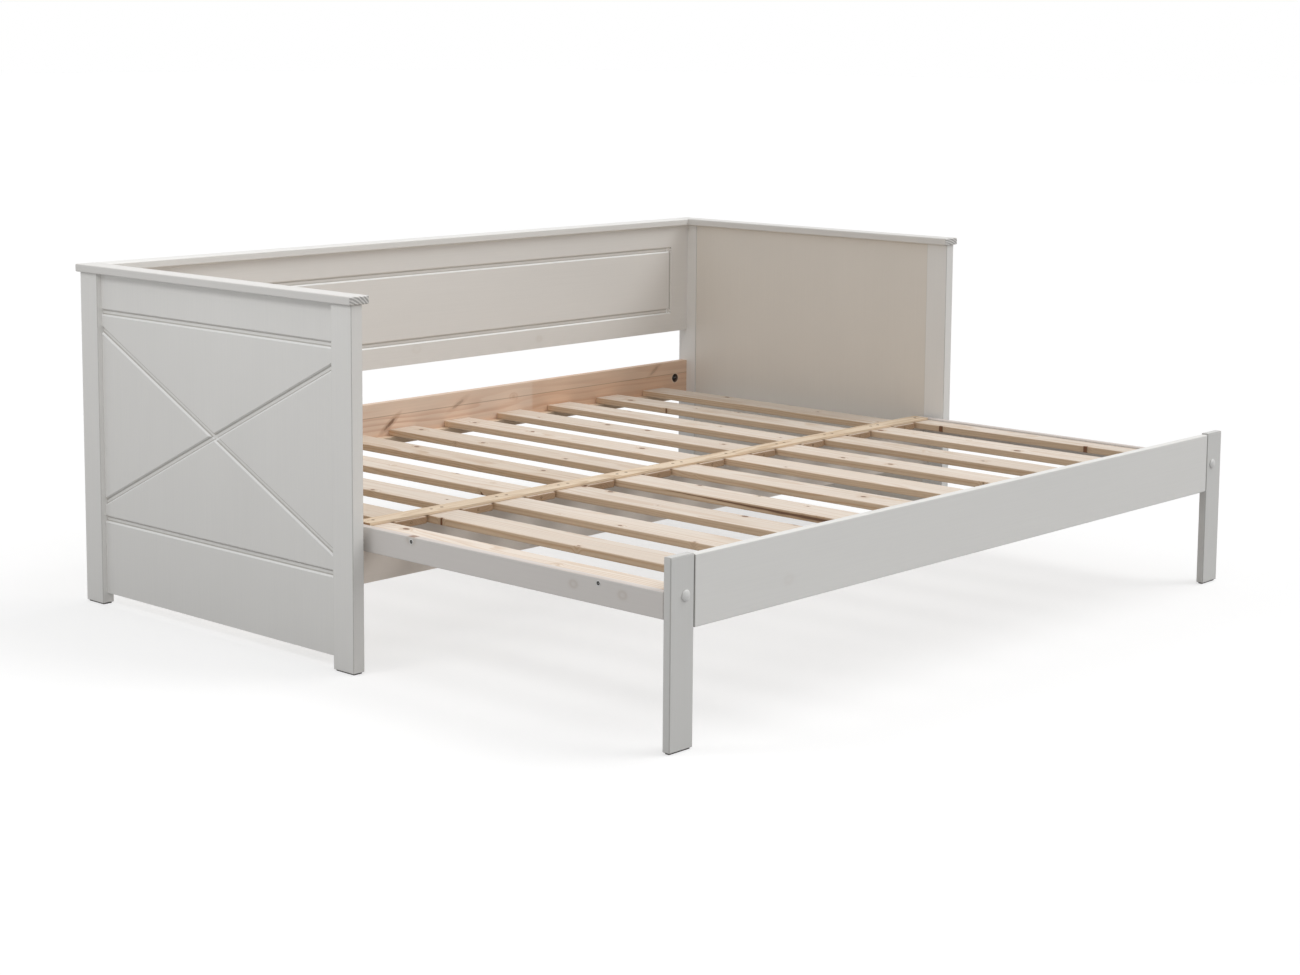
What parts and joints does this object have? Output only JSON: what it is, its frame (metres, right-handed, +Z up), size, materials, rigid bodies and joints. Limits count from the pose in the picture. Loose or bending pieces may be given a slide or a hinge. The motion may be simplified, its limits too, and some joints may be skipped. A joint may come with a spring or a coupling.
{
  "type": "extending day bed",
  "caption": "Three-sided slatted day bed in white painted pine with a pull-out slatted frame that slides forward on flat legs to double its width.",
  "frame": {"origin": "on the floor, under the middle of the bed's whole box when it is pulled out", "axes": "+X along the length to the viewer's right when facing the open front, +Y from the open front to the back panel, +Z up"},
  "size_m": [2.096, 1.792, 0.784],
  "materials": {
    "white_lacquer": "satin white paint over pine",
    "raw_pine": "planed, unfinished pale pine",
    "planed_pine": "planed, unfinished pinkish pine",
    "strip_pine": "planed, unfinished yellow pine",
    "dark_glide": "dark felt-like plastic glide",
    "zinc_steel": "zinc plated",
    "bolt_cap": "light grey bolt with a round cap"
  },
  "bodies": {
    "fixed_frame": {"left_front_post": "white_lacquer", "left_front_post_glide": "dark_glide", "left_back_post": "white_lacquer", "left_back_post_glide": "dark_glide", "left_end_panel": "white_lacquer", "left_cap": "white_lacquer", "left_rear_bolt": "zinc_steel", "left_apron_bolt": "zinc_steel", "right_front_post": "white_lacquer", "right_front_post_glide": "dark_glide", "right_back_post": "white_lacquer", "right_back_post_glide": "dark_glide", "right_end_panel": "white_lacquer", "right_cap": "white_lacquer", "right_rear_bolt": "zinc_steel", "right_apron_bolt": "zinc_steel", "back_panel": "white_lacquer", "back_cap": "white_lacquer", "rear_rail": "planed_pine", "rear_ledger": "planed_pine", "apron": "white_lacquer", "fixed_slat_01": "raw_pine", "fixed_slat_02": "raw_pine", "fixed_slat_03": "raw_pine", "fixed_slat_04": "raw_pine", "fixed_slat_05": "raw_pine", "fixed_slat_06": "raw_pine", "fixed_slat_07": "raw_pine", "fixed_slat_08": "raw_pine", "fixed_slat_09": "raw_pine", "fixed_slat_10": "raw_pine"},
    "pull_out_frame": {"pull_slat_01": "raw_pine", "pull_slat_02": "raw_pine", "pull_slat_03": "raw_pine", "pull_slat_04": "raw_pine", "pull_slat_05": "raw_pine", "pull_slat_06": "raw_pine", "pull_slat_07": "raw_pine", "pull_slat_08": "raw_pine", "pull_slat_09": "raw_pine", "pull_slat_10": "raw_pine", "pull_slat_11": "raw_pine", "tie_strip": "strip_pine", "front_rail": "white_lacquer", "front_ledger": "planed_pine", "left_leg": "white_lacquer", "left_leg_glide": "dark_glide", "left_corner_block": "raw_pine", "left_leg_bolt": "bolt_cap", "left_side_rail": "white_lacquer", "left_stop_pin": "zinc_steel", "right_leg": "white_lacquer", "right_leg_glide": "dark_glide", "right_corner_block": "raw_pine", "right_leg_bolt": "bolt_cap", "right_side_rail": "white_lacquer", "right_stop_pin": "zinc_steel"}
  },
  "joints": [
    {"name": "pull_out", "type": "slide", "parent": "fixed_frame", "child": "pull_out_frame", "axis": [0, 1, 0], "range_m": [0, 0.8325]}
  ]
}
